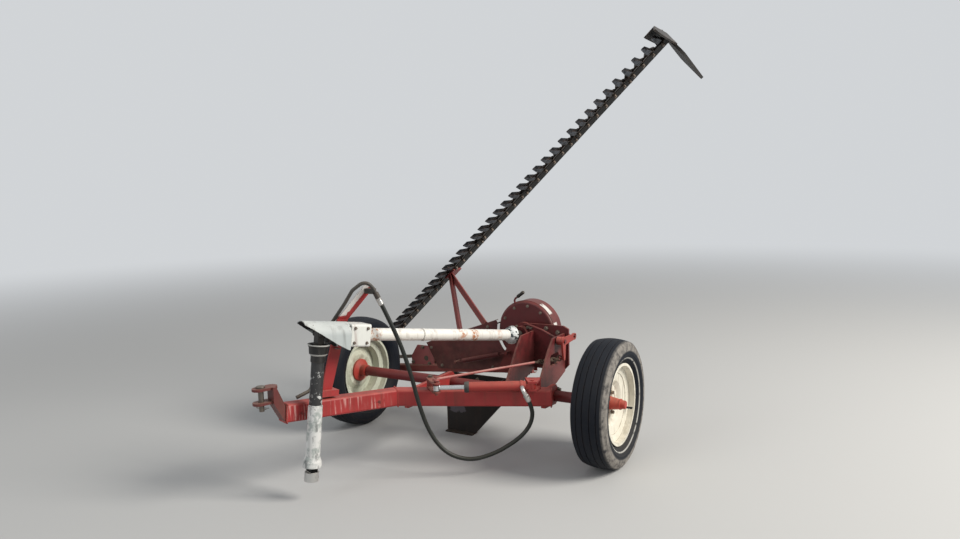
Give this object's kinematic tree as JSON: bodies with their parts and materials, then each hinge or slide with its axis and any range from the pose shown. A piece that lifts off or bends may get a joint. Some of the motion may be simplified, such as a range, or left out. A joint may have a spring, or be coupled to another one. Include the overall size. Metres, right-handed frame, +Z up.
{
  "type": "towed sickle bar mower",
  "caption": "Two-wheeled towed sickle bar mower, its cutter bar folded up over the axle, with belt drive, drive line and lift linkage.",
  "frame": {"origin": "on the ground under the middle of the wheel axle", "axes": "+X to the machine's right along the axle, +Y forward towards the hitch, +Z up"},
  "size_m": [2.2263, 2.6316, 2.3506],
  "materials": {
    "red_paint": "faded red gloss paint, worn and dusty",
    "cream_paint": "cream gloss paint with small dark spots",
    "maroon_paint": "dark faded red paint",
    "white_paint": "off-white paint, worn, with rust spots",
    "black_paint": "black paint and dark grease",
    "bare_steel": "dark worn steel",
    "plated_rod": "bright plated",
    "tyre_rubber": "old black rubber with a dusty tan side",
    "belt_rubber": "black rubber",
    "dark_line": "dark painted pipe",
    "board_wood": "dark stained board"
  },
  "bodies": {
    "frame": {"axle": "red_paint", "main_frame": "red_paint", "left_axle_bracket": "red_paint", "right_axle_bracket": "red_paint", "drop_plate": "black_paint", "hitch_clevis": "red_paint", "hitch_pin": "bare_steel", "pto_post": "red_paint", "pto_bearing_box": "white_paint", "pto_hood": "white_paint", "pto_front_fork": "bare_steel", "pto_guard_tube": "white_paint", "pto_ball_shield": "white_paint", "pto_rear_joint": "bare_steel", "drive_stand": "red_paint", "drive_pulley": "bare_steel", "drive_cover": "maroon_paint", "cylinder_foot": "red_paint", "lever_pin": "bare_steel", "lift_hose": "belt_rubber", "lift_line": "dark_line"},
    "left_wheel": {"left_tyre": "tyre_rubber", "left_rim": "cream_paint", "left_hub": "red_paint"},
    "right_wheel": {"right_tyre": "tyre_rubber", "right_rim": "cream_paint", "right_hub": "red_paint"},
    "carrier": {"carrier_arm": "red_paint", "sheet_guard": "maroon_paint", "pulley_bearing": "white_paint", "lower_pulley": "bare_steel", "belts": "belt_rubber", "fold_yoke": "red_paint", "fold_pins": "bare_steel", "pitman": "bare_steel", "bar_rest": "red_paint", "float_spring": "bare_steel"},
    "bar": {"bar_back": "black_paint", "guards": "black_paint", "knife_clips": "black_paint", "inner_shoe": "black_paint", "outer_shoe": "black_paint", "swath_board": "board_wood"},
    "knife": {"knife": "bare_steel"},
    "half_shaft": {"pto_cross": "bare_steel", "pto_bell": "black_paint", "pto_half_guard": "white_paint", "pto_end_yoke": "bare_steel"},
    "rocker": {"lift_rocker": "red_paint"},
    "lever": {"lift_lever": "red_paint"},
    "pull": {"pull_rod": "bare_steel", "lift_chain": "bare_steel"},
    "barrel": {"cylinder_barrel": "red_paint", "hose_elbow": "bare_steel"},
    "rod": {"cylinder_rod": "plated_rod"}
  },
  "joints": [
    {"name": "left_wheel_spin", "type": "hinge", "parent": "frame", "child": "left_wheel", "pos_m": [-0.84, 0, 0.34], "axis": [1, 0, 0], "continuous": true},
    {"name": "right_wheel_spin", "type": "hinge", "parent": "frame", "child": "right_wheel", "pos_m": [0.84, 0, 0.34], "axis": [1, 0, 0], "continuous": true},
    {"name": "carrier_lift", "type": "hinge", "parent": "frame", "child": "carrier", "pos_m": [-0.17, -0.4, 0.6], "axis": [0, 1, 0], "range_deg": [0, 8.4]},
    {"name": "bar_fold", "type": "hinge", "parent": "carrier", "child": "bar", "pos_m": [1.155, -0.55, 0.272], "axis": [0, 1, 0], "range_deg": [0, 128.6]},
    {"name": "knife_slide", "type": "slide", "parent": "bar", "child": "knife", "axis": [-0.7314, 0, 0.682], "range_m": [0, 0.0762]},
    {"name": "pto_swing", "type": "hinge", "parent": "frame", "child": "half_shaft", "pos_m": [0.25057, 0.98696, 0.80969], "axis": [0.9468, -0.3219, 0], "range_deg": [0, 95]},
    {"name": "rocker_turn", "type": "hinge", "parent": "frame", "child": "rocker", "pos_m": [-0.5, -0.2, 0.6], "axis": [1, 0, 0], "range_deg": [-16.64, 0]},
    {"name": "lever_turn", "type": "hinge", "parent": "frame", "child": "lever", "pos_m": [0.03, 0.385, 0.448], "axis": [0, 0, 1], "range_deg": [0, 11.76]},
    {"name": "pull_turn", "type": "hinge", "parent": "lever", "child": "pull", "pos_m": [-0.06, 0.465, 0.494], "axis": [0, 0, 1], "range_deg": [-10.53, 0]},
    {"name": "barrel_turn", "type": "hinge", "parent": "frame", "child": "barrel", "pos_m": [-0.5, 0.218, 0.448], "axis": [0, 0, 1], "range_deg": [-1.25, 0]},
    {"name": "rod_slide", "type": "slide", "parent": "barrel", "child": "rod", "axis": [0.872, 0.4895, 0], "range_m": [-0.0223, 0]}
  ],
  "couplings": [
    {"joint": "rocker_turn", "follows": "carrier_lift", "ratio": -1.9801},
    {"joint": "lever_turn", "follows": "carrier_lift", "ratio": 1.3989},
    {"joint": "pull_turn", "follows": "carrier_lift", "ratio": -1.2523},
    {"joint": "barrel_turn", "follows": "carrier_lift", "ratio": -0.147},
    {"joint": "rod_slide", "follows": "carrier_lift", "m_per_rad": -0.1517}
  ]
}
